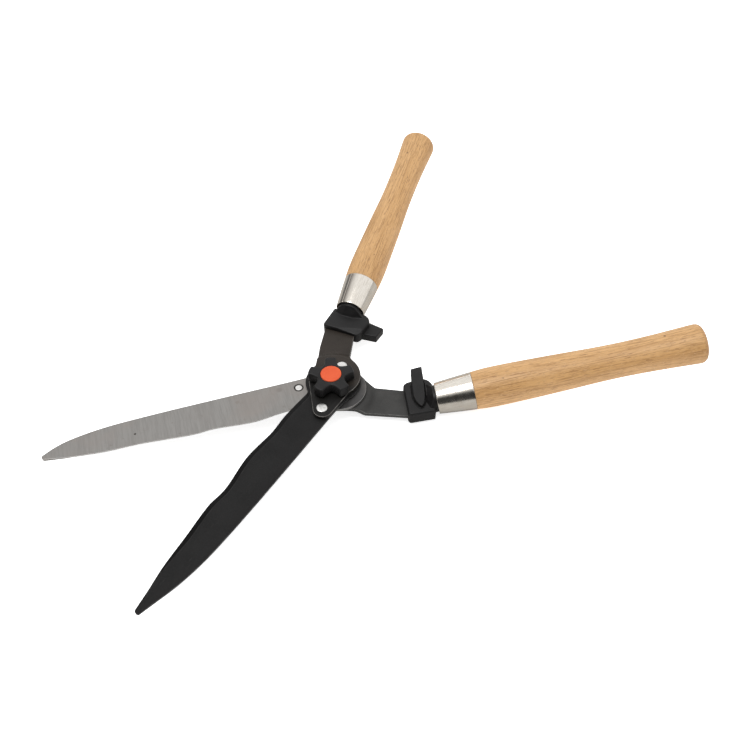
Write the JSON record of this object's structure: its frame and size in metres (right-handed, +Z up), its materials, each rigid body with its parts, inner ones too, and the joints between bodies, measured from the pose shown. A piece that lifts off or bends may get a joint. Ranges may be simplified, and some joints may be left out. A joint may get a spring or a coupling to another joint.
{
  "type": "hedge shears",
  "caption": "Two-handed hedge shears with wavy blades riveted to cranked arms, a star-knob pivot, bumper blocks and turned wooden handles.",
  "frame": {"origin": "on the pivot axis, at the flat end of the pivot bolt's head, under the lower arm", "axes": "+Z up the pivot axis from the bolt head to the star knob; +X from the pivot towards the handles, along the line midway between the two halves; +Y completes the frame, towards the upper half's handle"},
  "size_m": [0.4909, 0.3905, 0.0828],
  "materials": {
    "ground_steel": "cross-ground bare steel",
    "black_blade_steel": "black satin coating",
    "grey_arm_steel": "dark grey satin coating",
    "brown_arm_steel": "brown-black satin coating",
    "bright_steel": "zinc-bright",
    "nickel_plate": "warm nickel plate, polished",
    "beech_wood": "turned, thinly varnished",
    "black_plastic": "moulded satin",
    "orange_plastic": "moulded satin"
  },
  "bodies": {
    "lower_half": {"lower_blade": "ground_steel", "lower_arm": "grey_arm_steel", "lower_front_rivet": "bright_steel", "lower_rear_rivet": "bright_steel", "lower_bumper": "black_plastic", "lower_ferrule": "nickel_plate", "lower_handle": "beech_wood", "pivot_bolt": "bright_steel"},
    "upper_half": {"upper_blade": "black_blade_steel", "upper_arm": "brown_arm_steel", "upper_front_rivet": "bright_steel", "upper_rear_rivet": "bright_steel", "upper_bumper": "black_plastic", "upper_ferrule": "nickel_plate", "upper_handle": "beech_wood"},
    "washers": {"flat_washer": "bright_steel", "spring_washer": "bright_steel"},
    "knob": {"star_knob": "black_plastic", "knob_nut": "bright_steel", "knob_cap": "orange_plastic"}
  },
  "joints": [
    {"name": "shear_pivot", "type": "hinge", "parent": "lower_half", "child": "upper_half", "pos_m": [0, 0, 0.0125], "axis": [0, 0, 1], "range_deg": [-39.4, 50]},
    {"name": "knob_travel", "type": "slide", "parent": "lower_half", "child": "washers", "axis": [0, 0, 1], "range_m": [0, 0.0025]},
    {"name": "knob_turn", "type": "hinge", "parent": "washers", "child": "knob", "pos_m": [0, 0, 0.0246], "axis": [0, 0, 1], "range_deg": [0, 720]}
  ],
  "couplings": [
    {"joint": "knob_travel", "follows": "knob_turn", "m_per_rad": 0.00019894}
  ]
}
